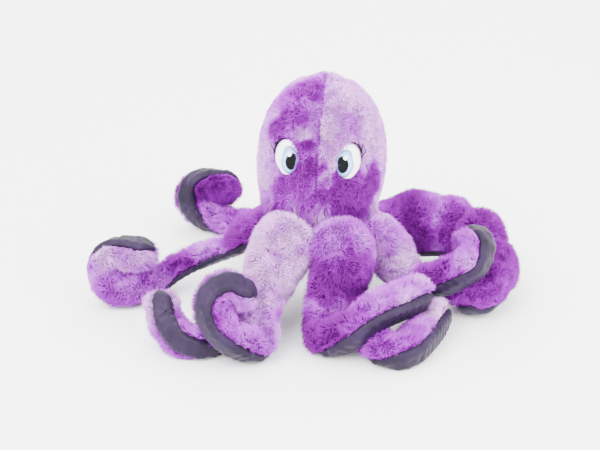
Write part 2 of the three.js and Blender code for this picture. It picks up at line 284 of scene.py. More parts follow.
class PlushPileSettings(bpy.types.PropertyGroup):
    """Sizes and colours of the pile fabric"""
    head_pile: length_setting("Head pile", "Length of the pile on the head", 5.5)
    leg_pile: length_setting("Leg pile", "Length of the pile on the legs", 8.0)
    tuft_width: length_setting("Tuft width", "Width of one tuft at its foot", 0.95)
    head_tufts: bpy.props.IntProperty(
        name="Head tufts", description="Tufts on each half of the head", default=38000, min=100)
    leg_tufts: bpy.props.FloatProperty(
        name="Leg tufts", description="Tufts per square mm on the legs", default=1.5, min=0.01)
    deep: colour_setting("Deep", "Strongest dye", (0.21, 0.0, 0.29))
    middle: colour_setting("Middle", "Middle dye", (0.38, 0.0, 0.55))
    light: colour_setting("Light", "Light dye", (0.61, 0.10, 0.82))
    pale: colour_setting("Pale", "Undyed pile", (0.90, 0.47, 1.0))


class PlushStuffingSettings(bpy.types.PropertyGroup):
    """How the filling pushes the cloth out"""
    start_inset: length_setting("Start inset", "How much smaller the cloth starts", 2.4)
    pressure: bpy.props.FloatProperty(name="Pressure", description="Cloth pressure", default=4.0)
    reach: length_setting("Reach", "Farthest that the cloth may move", 6.0)
    frames: bpy.props.IntProperty(name="Frames", description="Simulated frames", default=20, min=2)


class PlushSoleSettings(bpy.types.PropertyGroup):
    """Sizes and colours of the satin sole strips"""
    half_turn: bpy.props.FloatProperty(
        name="Half width", description="Half of the strip's width round the leg",
        default=math.radians(55), subtype="ANGLE")
    stand_off: length_setting("Rise", "How far the strip's middle rises over the cover", 2.4)
    thickness: length_setting("Thickness", "Cloth thickness", 0.9)
    gather: length_setting("Gather", "Distance between gathers along the seams", 7.0)
    # Painted shade and painted light: a shaded and a lit tone of the one satin, mottled together by noise in the
    # satin material, not laid along its folds and crowns.
    shaded_satin: colour_setting("Dark", "Satin in its folds", (0.0055, 0.0018, 0.011))
    light: colour_setting("Light", "Satin on its crowns", (0.018, 0.0075, 0.031))


class PlushEyeSettings(bpy.types.PropertyGroup):
    """Sizes and colours of the sewn eyes"""
    half_width: length_setting("Half width", "Half of the white's width", 12.5)
    half_height: length_setting("Half height", "Half of the white's height", 17.0)
    layer: length_setting("Layer", "Thickness of one layer of cloth", 0.8)
    rise: length_setting("Rise", "White's face above the head's cloth", 2.6)
    white: colour_setting("White", "White of the eye", (0.90, 0.89, 0.94))
    iris: colour_setting("Iris", "Iris cloth", (0.19, 0.35, 0.64))
    iris_edge: colour_setting("Iris edge", "Rim of the iris", (0.06, 0.12, 0.30))
    pupil: colour_setting("Pupil", "Pupil and lash cloth", (0.002, 0.002, 0.003))


def settings(name):
    return getattr(bpy.context.scene, name)


# ---- materials ----


def new_material(name, roughness, sheen=0.0, sheen_roughness=0.5, specular=0.3):
    material = bpy.data.materials.new(name)
    material.use_nodes = True
    tree = material.node_tree
    shader = tree.nodes["Principled BSDF"]
    shader.inputs["Roughness"].default_value = roughness
    shader.inputs["Sheen Weight"].default_value = sheen
    shader.inputs["Sheen Roughness"].default_value = sheen_roughness
    shader.inputs["Specular IOR Level"].default_value = specular
    return material, tree, shader


def add_node(tree, kind, **values):
    node = tree.nodes.new(kind)
    for key, value in values.items():
        if hasattr(node, key):
            setattr(node, key, value)
        else:
            node.inputs[key.replace("_", " ")].default_value = value
    return node


def noise_node(tree, scale, detail=2.0):
    coordinates = tree.nodes.new("ShaderNodeTexCoord")
    cloud = tree.nodes.new("ShaderNodeTexNoise")
    cloud.inputs["Scale"].default_value = scale
    cloud.inputs["Detail"].default_value = detail
    tree.links.new(coordinates.outputs["Object"], cloud.inputs["Vector"])
    return cloud.outputs["Fac"]


def math_node(tree, operation, a, b=0.0, clamp=False):
    node = tree.nodes.new("ShaderNodeMath")
    node.operation = operation
    node.use_clamp = clamp
    for socket, value in zip(node.inputs, (a, b)):
        if isinstance(value, (int, float)):
            socket.default_value = value
        else:
            tree.links.new(value, socket)
    return node.outputs[0]


def ramp_node(tree, factor, stops):
    node = tree.nodes.new("ShaderNodeValToRGB")
    ramp = node.color_ramp
    while len(ramp.elements) < len(stops):
        ramp.elements.new(0.5)
    for element, (position, colour) in zip(ramp.elements, stops):
        element.position = position
        element.color = (*colour, 1.0)
    tree.links.new(factor, node.inputs["Fac"])
    return node.outputs["Color"]


def mix_colour(tree, factor, a, b, blend="MIX"):
    node = tree.nodes.new("ShaderNodeMix")
    node.data_type = "RGBA"
    node.blend_type = blend
    for socket, value in ((node.inputs["Factor"], factor), (node.inputs["A"], a), (node.inputs["B"], b)):
        if isinstance(value, (int, float)):
            socket.default_value = value
        elif isinstance(value, tuple):
            socket.default_value = (*value, 1.0)
        else:
            tree.links.new(value, socket)
    return node.outputs["Result"]


def attribute_node(tree, name):
    node = tree.nodes.new("ShaderNodeAttribute")
    node.attribute_name = name
    return node.outputs["Fac"]


def bump(tree, shader, height, strength, distance_mm):
    node = tree.nodes.new("ShaderNodeBump")
    node.inputs["Strength"].default_value = strength
    node.inputs["Distance"].default_value = distance_mm * MM
    tree.links.new(height, node.inputs["Height"])
    tree.links.new(node.outputs["Normal"], shader.inputs["Normal"])


def pile_material(name, frosting):
    """Tie-dyed pile: the dye is a tuft's own, darkened towards its foot by painted shade, and frosted at its tip."""
    pile = settings("plush_pile")
    material, tree, shader = new_material(name, 0.9, specular=0.02)
    dye = attribute_node(tree, "dye")
    tip = attribute_node(tree, "tip")
    shade = attribute_node(tree, "shade")
    mottle = math_node(tree, "MULTIPLY_ADD", noise_node(tree, 260.0), 0.22)
    mottle.node.inputs[2].default_value = -0.11
    strength = math_node(tree, "ADD", dye, mottle, clamp=True)
    colour = ramp_node(tree, strength, [
        (0.02, tuple(pile.pale)), (0.3, tuple(pile.light)), (0.56, tuple(pile.middle)), (0.82, tuple(pile.deep))])
    # Painted shade: each tuft's colour is darkened towards its foot (tip 0), standing in for the shade deep in the
    # pile; the shade value then varies the tone tuft by tuft.
    foot = math_node(tree, "MULTIPLY_ADD", tip, 0.46)
    foot.node.inputs[2].default_value = 0.58
    value = math_node(tree, "MULTIPLY", foot, shade)
    root_shade_and_tone = tree.nodes.new("ShaderNodeCombineColor")
    for socket in root_shade_and_tone.inputs:
        tree.links.new(value, socket)
    shaded_and_toned = mix_colour(tree, 1.0, colour, root_shade_and_tone.outputs[0], "MULTIPLY")
    frost = math_node(tree, "MULTIPLY", math_node(tree, "POWER", tip, 2.0), frosting)
    final = mix_colour(tree, frost, shaded_and_toned, tuple(pile.light))
    tree.links.new(final, shader.inputs["Base Color"])
    return material


def satin_material(name, shaded_satin, light, weave_scale=1500.0):
    material, tree, shader = new_material(name, 0.5, sheen=0.04, sheen_roughness=0.35, specular=0.15)
    # Painted shade and light: the satin's colour is mottled by noise between its shaded and its lit tone.
    cloud = noise_node(tree, 45.0, 3.0)
    colour = ramp_node(tree, cloud, [(0.3, tuple(shaded_satin)), (0.7, tuple(light))])
    tree.links.new(colour, shader.inputs["Base Color"])
    bump(tree, shader, noise_node(tree, weave_scale, 1.0), 0.25, 0.3)
    return material


def cloth_material(name, colour, spread=0.1, roughness=0.6, thread_scale=1100.0):
    material, tree, shader = new_material(name, roughness, specular=0.08)
    darker = tuple(max(c * (1 - spread), 0.0) for c in colour)
    threads = noise_node(tree, thread_scale, 1.0)
    shade = ramp_node(tree, threads, [(0.35, darker), (0.65, tuple(colour))])
    tree.links.new(shade, shader.inputs["Base Color"])
    bump(tree, shader, threads, 0.3, 0.25)
    return material


def plastic_material(name, colour):
    material, tree, shader = new_material(name, 0.35, specular=0.5)
    cloud = noise_node(tree, 120.0)
    darker = tuple(c * 0.93 for c in colour)
    tree.links.new(ramp_node(tree, cloud, [(0.4, darker), (0.6, tuple(colour))]), shader.inputs["Base Color"])
    return material


# ---- shapes read from the CAD frame ----


class LegLine:
    """A leg's middle line with its radius and sole side, read from the rings of its CAD filling."""

    wall = 3.4  # mm between the filling and the outside of the cover

    def __init__(self, name):
        joint = next(j for j in JOINTS if j["child"] == f"{name}_leg")
        self.name = name
        self.joint = joint["name"]
        self.hinge = np.array(joint["pos_m"]) / MM
        copy = merged_copy(f"{name}_leg_stuffing", f"{name}_rings")
        rows = places(copy.data) / MM
        near = {i: set() for i in range(len(rows))}
        for edge in copy.data.edges:
            a, b = edge.vertices
            near[a].add(b)
            near[b].add(a)
        discard(copy)
        most = max(len(n) for n in near.values())
        poles = [i for i, n in near.items() if len(n) == most]
        ring = {min(poles, key=lambda i: np.linalg.norm(rows[i] - self.hinge))}
        seen = set(ring)
        rings = []
        while ring:
            rings.append(sorted(ring))
            ring = {b for a in ring for b in near[a]} - seen
            seen |= ring
        rings = rings[3:-3]
        if len(rings) < 6 or any(len(r) != len(rings[0]) for r in rings):
            raise RuntimeError(f"the filling of {name} has no clean rings")
        middles = np.array([rows[r].mean(0) for r in rings])
        strip = places(frame["nodes"][f"{name}_leg_sole"].data) / MM
        soles = []
        for i, middle in enumerate(middles):
            along = unit(middles[min(i + 1, len(middles) - 1)] - middles[max(i - 1, 0)])
            offset = strip - middle
            level = np.abs(offset @ along) < 8
            close = np.linalg.norm(offset, axis=1) < 30
            side = offset[level & close].mean(0)
            soles.append(unit(side - along * (side @ along)))
        radii = np.array([np.sort(np.linalg.norm(rows[r] - m, axis=1))[-5:].mean()
                          for r, m in zip(rings, middles)]) + self.wall
        self.middles = middles + np.array(soles) * radii[:, None] * 0.03
        self.soles = np.array(soles)
        self.radii = radii
        steps = np.linalg.norm(np.diff(self.middles, axis=0), axis=1)
        self.step = steps.mean() * 1.01
        self.length = self.step * (len(middles) - 1)

    def at(self, distance):
        """Place, tangent, sole side, across and radius at each distance in mm."""
        distance = np.asarray(distance, float)
        where = np.clip(distance / self.step, 0, len(self.middles) - 1)
        place = smooth_rows(self.middles, where)
        tangent = unit(smooth_rows(self.middles, where + 0.02) - smooth_rows(self.middles, where - 0.02))
        place = place + tangent * (distance - where * self.step)[:, None]
        sole = smooth_rows(self.soles, where)
        sole = unit(sole - tangent * (sole * tangent).sum(1)[:, None])
        across = np.cross(sole, tangent)
        radius = smooth_rows(self.radii[:, None], where)[:, 0]
        return place, tangent, sole, across, radius

    def stations(self, ring, rings, ends=5):
        """Distance along the leg and part of the radius for each ring of a ball stretched into the leg."""
        root, tip = self.radii[0], self.radii[-1]
        ring = np.asarray(ring, float)
        body = np.clip((ring - ends) / (rings - 2 * ends), 0, 1) * self.length
        low = np.clip((ends - ring) / ends, 0, 1) * math.pi / 2
        high = np.clip((ring - (rings - ends)) / ends, 0, 1) * math.pi / 2
        distance = body - np.sin(low) * root + np.sin(high) * tip
        return distance, np.cos(low) * np.cos(high)


class HeadShape:
    """The head's own axes and outline, read from its CAD halves and panel."""

    def __init__(self):
        left = self.corners("head_left_half")
        right = self.corners("head_right_half")
        low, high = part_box("base_panel")
        faces = frame["nodes"]["base_panel"].data.polygons
        up = np.array(max(faces, key=lambda face: face.area * face.normal.z).normal)
        across = right.mean(0) - left.mean(0)
        self.up = unit(up)
        self.across = unit(across - self.up * (across @ self.up))
        self.back = np.cross(self.up, self.across)
        self.centre = np.array((low + high) / 2) / MM + self.up * 1.8
        own = self.to_own(np.vstack([left, right]))
        points = sorted({(round(h, 2), round(math.hypot(x, y), 2)) for x, y, h in own})
        hull = []
        for point in points:
            while len(hull) > 1 and self.turn(hull[-2], hull[-1], point) >= 0:
                hull.pop()
            hull.append(point)
        self.outline = np.array([(r, h) for h, r in hull])
        rim = self.outline[0]
        chain = np.vstack([[0, rim[1]], [rim[0] * 0.5, rim[1]], [rim[0] * 0.93, rim[1]], self.outline[1:],
                           [0, self.outline[-1][1]]])
        steps = np.linalg.norm(np.diff(chain, axis=0), axis=1)
        keep = np.concatenate([[True], steps > 0.5])
        self.chain = chain[keep]
        self.reach = np.concatenate([[0], np.cumsum(np.linalg.norm(np.diff(self.chain, axis=0), axis=1))])

    @staticmethod
    def corners(node):
        return np.unique(np.round(places(frame["nodes"][node].data) / MM, 2), axis=0)

    @staticmethod
    def turn(a, b, c):
        return (b[0] - a[0]) * (c[1] - a[1]) - (b[1] - a[1]) * (c[0] - a[0])

    def to_own(self, rows):
        offset = rows - self.centre
        return np.stack([offset @ self.across, offset @ self.back, offset @ self.up], axis=1)

    def to_frame(self, rows):
        return (self.centre + rows[:, :1] * self.across + rows[:, 1:2] * self.back + rows[:, 2:3] * self.up)

    def at(self, part):
        """Radius and height at a part of the way from under the head, over its side, to its top."""
        way = np.asarray(part) * self.reach[-1]
        even = np.linspace(0, self.reach[-1], 90)
        radius = np.interp(even, self.reach, self.chain[:, 0])
        height = np.interp(even, self.reach, self.chain[:, 1])
        weights = np.array([1, 2, 3, 2, 1]) / 9
        inner = slice(2, -2)
        radius[inner] = np.convolve(radius, weights, "valid")
        height[inner] = np.convolve(height, weights, "valid")
        return np.interp(way, even, radius), np.interp(way, even, height)


SHAPES = {}


def leg_line(name):
    if name not in SHAPES:
        SHAPES[name] = LegLine(name)
    return SHAPES[name]


def head_shape():
    if "head" not in SHAPES:
        SHAPES["head"] = HeadShape()
    return SHAPES["head"]


# ---- stuffing ----


def stuff(obj, held):
    """Lets the filling push the cloth out, between the vertices that the seams hold."""
    stuffing = settings("plush_stuffing")
    start = places(obj.data)
    group = obj.vertex_groups.new(name="seams")
    for weight in np.unique(held):
        if weight > 0:
            group.add(np.flatnonzero(held == weight).tolist(), float(weight), "REPLACE")
    cloth = obj.modifiers.new("Cloth", "CLOTH")
    cloth.settings.quality = 6
    cloth.settings.mass = 0.25
    cloth.settings.tension_stiffness = 12
    cloth.settings.compression_stiffness = 12
    cloth.settings.shear_stiffness = 4
    cloth.settings.bending_stiffness = 0.4
    cloth.settings.shrink_min = -0.06
    cloth.settings.use_pressure = True
    cloth.settings.uniform_pressure_force = stuffing.pressure
    cloth.settings.vertex_group_mass = "seams"
    cloth.settings.effector_weights.gravity = 0.0
    cloth.point_cache.frame_start = 1
    cloth.point_cache.frame_end = stuffing.frames
    for step in range(1, stuffing.frames + 1):
        bpy.context.scene.frame_set(step)
    puffed = obj.evaluated_get(bpy.context.evaluated_depsgraph_get()).to_mesh()
    moved = places(puffed) - start
    obj.evaluated_get(bpy.context.evaluated_depsgraph_get()).to_mesh_clear()
    bpy.context.scene.frame_set(1)
    obj.modifiers.clear()
    obj.vertex_groups.clear()
    size = np.linalg.norm(moved, axis=1, keepdims=True)
    moved *= np.minimum(1.0, stuffing.reach / np.maximum(size, 1e-9))
    set_places(obj.data, start + moved)


# ---- pile ----


def tuft_shape():
    """One tuft, modelled once: a closed three-sided spike, a unit tall."""
    select_only(bpy.context.view_layer.objects[0])
    bpy.ops.mesh.primitive_cone_add(vertices=3, radius1=1.0, radius2=0.0, depth=1.0, location=(0, 0, 0))
    obj = bpy.context.active_object
    rows = places(obj.data)
    rows[:, 2] += 0.5
    faces = [tuple(p.vertices) for p in obj.data.polygons]
    discard(obj)
    return rows, faces


def plant(feet, normals, leans, lengths, width):
    """Copies the tuft to every foot. Returns vertices, faces and the height up the tuft."""
    rows, faces = SHAPES["tuft"]
    count = len(feet)
    side = unit(np.cross(normals, leans + np.array([0.013, 0.017, 0.011])))
    other = np.cross(normals, side)
    height = rows[:, 2]
    rise = height - 0.2 * height**2
    bend = height**1.6
    vertices = (
        feet[:, None, :]
        + normals[:, None, :] * (lengths[:, None] * rise[None, :])[:, :, None]
        + leans[:, None, :] * (lengths[:, None] * bend[None, :])[:, :, None]
        + side[:, None, :] * (width[:, None] * rows[None, :, 0])[:, :, None]
        + other[:, None, :] * (width[:, None] * rows[None, :, 1])[:, :, None])
    stride = len(rows)
    all_faces = [(np.array(face)[None, :] + (np.arange(count) * stride)[:, None]) for face in faces]
    return vertices.reshape(-1, 3), all_faces, np.tile(height, count)


def scatter(mesh, count, rng):
    """Random points over a mesh's triangles: place, normal, triangle corners and their weights."""
    rows = places(mesh) / MM
    corners = triangles(mesh)
    a, b, c = rows[corners[:, 0]], rows[corners[:, 1]], rows[corners[:, 2]]
    area = np.linalg.norm(np.cross(b - a, c - a), axis=1)
    chosen = rng.choice(len(corners), size=count, p=area / area.sum())
    u, v = rng.random(count), rng.random(count)
    flip = u + v > 1
    u[flip], v[flip] = 1 - u[flip], 1 - v[flip]
    weights = np.stack([1 - u - v, u, v], axis=1)
    picked = corners[chosen]
    point = (rows[picked] * weights[:, :, None]).sum(1)
    normals = np.empty(len(mesh.vertices) * 3)
    mesh.vertices.foreach_get("normal", normals)
    normal = unit((normals.reshape(-1, 3)[picked] * weights[:, :, None]).sum(1))
    return point, normal, picked, weights


def surface_area(mesh):
    rows = places(mesh) / MM
    corners = triangles(mesh)
    a, b, c = rows[corners[:, 0]], rows[corners[:, 1]], rows[corners[:, 2]]
    return 0.5 * np.linalg.norm(np.cross(b - a, c - a), axis=1).sum()


def furred(name, skin, tufts, values, material):
    """One object of the cloth and its pile, with dye, tip and shade stored on its vertices."""
    vertices, faces, tip, dye, shade = tufts
    base = places(skin.data) / MM
    base_faces = [tuple(p.vertices) for p in skin.data.polygons]
    by_size = {}
    for face in base_faces:
        by_size.setdefault(len(face), []).append(face)
    groups = [np.array(group) for group in by_size.values()] + [f + len(base) for f in faces]
    rows = np.vstack([base, vertices])
    rows[:, 2] = np.maximum(rows[:, 2], 0.35)
    loops = np.concatenate([g.ravel() for g in groups])
    sizes = np.concatenate([np.full(len(g), g.shape[1]) for g in groups])
    starts = np.concatenate([[0], np.cumsum(sizes)[:-1]])
    mesh = bpy.data.meshes.new(name)
    mesh.vertices.add(len(rows))
    mesh.loops.add(len(loops))
    mesh.polygons.add(len(sizes))
    mesh.vertices.foreach_set("co", (rows * MM).ravel())
    mesh.loops.foreach_set("vertex_index", loops)
    mesh.polygons.foreach_set("loop_start", starts)
    mesh.update(calc_edges=True)
    mesh.validate()
    # The bare cloth gets tip 0 and shade 0.8, so the pile material gives it the full painted shade of a tuft's foot.
    for key, own, pile in (("dye", values, dye), ("tip", np.zeros(len(base)), tip),
                           ("shade", np.full(len(base), 0.8), shade)):
        layer = mesh.attributes.new(key, "FLOAT", "POINT")
        layer.data.foreach_set("value", np.concatenate([own, pile]).astype(np.float32))
    discard(skin)
    obj = bpy.data.objects.new(name, mesh)
    bpy.context.scene.collection.objects.link(obj)
    return dressed(obj, material)


# ---- head ----


def head_dye(own):
    """Strength of the dye at places on the head's own axes."""
    warped = own + soft_vectors(own, 17.0, 3) * 9.0 + soft_vectors(own, 6.0, 4) * 4.0
    dye = np.where(own[:, 0] < 0, 0.30, 0.12) + 0.24 * soft_noise(own, 20.0, 5)
    for x, y, z, reach, strength in HEAD_DYE:
        far = np.linalg.norm(warped - np.array([x, y, z]), axis=1)
        dye = mixed(dye, strength, eased(1.5 - far / reach) * 0.97)
    dye = np.where((own[:, 0] > 0) & (own[:, 2] > 60), dye * 0.8, dye)
    return np.clip(dye + 0.10 * soft_noise(own, 5.0, 9), 0, 1)


class PLUSH_OT_head(bpy.types.Operator):
    """Sews the two halves of the head, stuffs them and gives them their pile"""
    bl_idname = "object.plush_head"
    bl_label = "Head halves"

    def execute(self, context):
        shape = head_shape()
        pile = settings("plush_pile")
        inset = settings("plush_stuffing").start_inset / MM
        segments, rings = 64, 52
        skin = ball("head_skin", segments, rings)
        ring, angle = ball_steps(skin, rings)
        radius, height = shape.at(ring / rings)
        own = np.stack([radius * np.sin(angle), -radius * np.cos(angle), height], axis=1)
        middle = np.array([0, 0, 50.0])
        outwards = unit((own - middle) * np.array([1, 1, 0.55]))
        furrow = 1.9 * np.exp(-(own[:, 0] / 3.2) ** 2) * eased((own[:, 2] - 3) / 12)
        own -= outwards * (inset + furrow)[:, None]
        set_places(skin.data, shape.to_frame(own) * MM)
        outward(skin)
        held = np.where(np.abs(own[:, 0]) < 0.5, 1.0, 0.0)
        held = np.where(own[:, 2] < 3, 1.0, held)
        stuff(skin, held)
        SHAPES["head_surface"] = BVHTree.FromPolygons(
            (places(skin.data) / MM).tolist(), triangles(skin.data).tolist())
        rng = np.random.default_rng(11)
        for word, side in (("left", -1), ("right", 1)):
            half = self.half(skin, side, shape)
            self.finish_half(half, word, side, shape, pile, rng)
        discard(skin)
        for node, material in (("squeaker_case", plastic_material("squeaker_case", (0.86, 0.85, 0.80))),
                               ("squeaker_reed", plastic_material("squeaker_reed", (0.65, 0.07, 0.05)))):
            frame["nodes"][node].data.materials.clear()
            frame["nodes"][node].data.materials.append(material)
        return {"FINISHED"}

    def half(self, skin, side, shape):
        half = bpy.data.objects.new(f"half_{side}", skin.data.copy())
        bpy.context.scene.collection.objects.link(half)
        select_only(half)
        bpy.ops.object.mode_set(mode="EDIT")
        bpy.ops.mesh.select_all(action="SELECT")
        seam = (shape.centre + shape.across * side * 0.12) * MM
        bpy.ops.mesh.bisect(plane_co=seam, plane_no=tuple(shape.across * -side), use_fill=True,
                            clear_outer=True, clear_inner=False, threshold=1e-6)
        bpy.ops.object.mode_set(mode="OBJECT")
        return half

    def finish_half(self, half, word, side, shape, pile, rng):
        count = pile.head_tufts
        feet, normals, _, _ = scatter(half.data, int(count * 1.6), rng)
        own = shape.to_own(feet)
        keep = (np.abs(normals @ shape.across) < 0.995) | (np.abs(own[:, 0]) > 3)
        keep &= own[:, 0] * side > 0.3
        keep &= (own[:, 2] > 0.8) | (np.hypot(own[:, 0], own[:, 1]) > 43)
        for eye_side, turn, height in EYES.values():
            flat, lift = eye_plane(shape, feet, eye_side, turn, height)
            reach = np.where(flat[:, 0] > 0, 11.0, 12.2)
            inside = (flat[:, 0] / reach) ** 2 + (flat[:, 1] / 16.2) ** 2 < 1
            keep &= ~(inside & (np.abs(lift) < 25))
        feet, normals, own = feet[keep][:count], normals[keep][:count], own[keep][:count]
        fringe = eased((15 - own[:, 2]) / 13)
        down = -shape.up * (0.28 + 0.9 * fringe)[:, None]
        leans = soft_vectors(own, 9.0, 1) * 0.75 + soft_vectors(own, 3.5, 2) * 0.35 + down
        leans -= normals * (leans * normals).sum(1)[:, None]
        dye = head_dye(own)
        lengths = pile.head_pile / MM * (0.8 + 0.4 * rng.random(len(feet)))
        at_seam = np.exp(-(own[:, 0] / 1.8) ** 2) * eased((own[:, 2] - 8) / 14)
        dye = mixed(dye, 0.75, 0.7 * at_seam)
        lengths *= (1 - 0.65 * at_seam) * (1 + 1.5 * fringe)
        width = pile.tuft_width / MM * 0.5 * (0.8 + 0.4 * rng.random(len(feet)))
        vertices, faces, tip = plant(feet - normals * 0.3, normals, leans, lengths, width)
        stride = len(SHAPES["tuft"][0])
        shade = np.repeat((0.80 + 0.34 * rng.random(len(feet))) * (1 - 0.6 * at_seam), stride)
        skin_own = shape.to_own(places(half.data) / MM)
        piece = furred(f"head_{word}_plush", half, (vertices, faces, tip, np.repeat(dye, stride), shade),
                       head_dye(skin_own), pile_material(f"pile_head_{word}", 0.16))
        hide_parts(f"head_{word}_half", *(["head_stuffing"] if side < 0 else []))
        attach(piece, "head")


# ---- eyes ----


def eye_axes(shape, side, turn, height):
    """An eye's middle on the head with its outward, inward-to-seam and upward directions."""
    angle = math.radians(turn) * side
    outline = shape.outline
    radius = np.interp(height, outline[:, 1], outline[:, 0])
    slope = (np.interp(height + 6, outline[:, 1], outline[:, 0])
             - np.interp(height - 6, outline[:, 1], outline[:, 0])) / 12
    away = math.sin(angle) * shape.across - math.cos(angle) * shape.back
    middle = shape.centre + away * radius + shape.up * height
    out = unit(away - shape.up * slope)
    inward = unit(np.cross(shape.up, out)) * side
    upward = unit(np.cross(out, inward)) * side
    lean = math.radians(6)
    up = math.cos(lean) * upward + math.sin(lean) * inward
    inn = math.cos(lean) * inward - math.sin(lean) * upward
    return middle, out, -inn if inn @ shape.across * side > 0 else inn, up if up @ shape.up > 0 else -up


def eye_plane(shape, rows, side, turn, height):
    middle, out, inward, up = eye_axes(shape, side, turn, height)
    offset = rows - middle
    return np.stack([offset @ inward, offset @ up], axis=1), offset @ out


def laid_on_head(shape, flat, side, turn, height, rise):
    """Lays flat points of an eye (towards the seam, up) on the head's cloth, `rise` mm above it."""
    middle, out, inward, up = eye_axes(shape, side, turn, height)
    surface = SHAPES["head_surface"]
    laid = []
    for (a, b), lift in zip(flat, rise):
        start = Vector(middle + inward * a + up * b + out * 30)
        hit, normal, _, _ = surface.ray_cast(start, Vector(-out))
        if hit is None:
            raise RuntimeError("an eye reaches past the head")
        laid.append(np.array(hit) + unit(np.array(normal) * 0.4 + out * 0.6) * lift)
    return np.array(laid)


def eye_patch(name, shape, eye, middle, half, low, high, material):
    """A padded oval of cloth: an inset disc laid on the head, with a rounded edge and a back."""
    side, turn, height = eye
    select_only(bpy.context.view_layer.objects[0])
    bpy.ops.mesh.primitive_circle_add(vertices=48, radius=1.0, fill_type="NGON")
    obj = bpy.context.active_object
    obj.name = obj.data.name = name
    bpy.ops.object.mode_set(mode="EDIT")
    bpy.ops.mesh.select_all(action="SELECT")
    for thickness in (0.05, 0.1, 0.2, 0.2, 0.2):
        bpy.ops.mesh.inset(thickness=thickness, depth=0)
    bpy.ops.mesh.poke()
    bpy.ops.object.mode_set(mode="OBJECT")
    rows = places(obj.data)
    radius = np.linalg.norm(rows[:, :2], axis=1)
    flat = np.stack([middle[0] + rows[:, 0] * half[0], middle[1] + rows[:, 1] * half[1]], axis=1)
    crown = np.sqrt(np.clip(1 - radius**6, 0, 1))
    top = laid_on_head(shape, flat, side, turn, height, low + (high - low) * crown)
    set_places(obj.data, top * MM)
    outward_to = eye_axes(shape, side, turn, height)[1]
    if np.array(obj.data.polygons[0].normal) @ outward_to < 0:
        obj.data.flip_normals()
    thicken = obj.modifiers.new("Thickness", "SOLIDIFY")
    thicken.thickness = 0.5 * MM
    thicken.offset = -1
    apply_modifiers(obj)
    dressed(obj, material)
    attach(obj, "head")
    return obj


def iris_material():
    eyes = settings("plush_eyes")
    material, tree, shader = new_material("iris_cloth", 0.45, sheen=0.1, specular=0.4)
    ringed = attribute_node(tree, "rim")
    pale = tuple(min(1.0, c * 1.2 + 0.05) for c in eyes.iris)
    colour = ramp_node(tree, ringed, [(0.0, tuple(eyes.iris)), (0.55, pale), (0.80, tuple(eyes.iris)),
                                      (0.9, tuple(eyes.iris_edge))])
    threads = noise_node(tree, 1100.0, 1.0)
    tree.links.new(colour, shader.inputs["Base Color"])
    bump(tree, shader, threads, 0.2, 0.2)
    return material


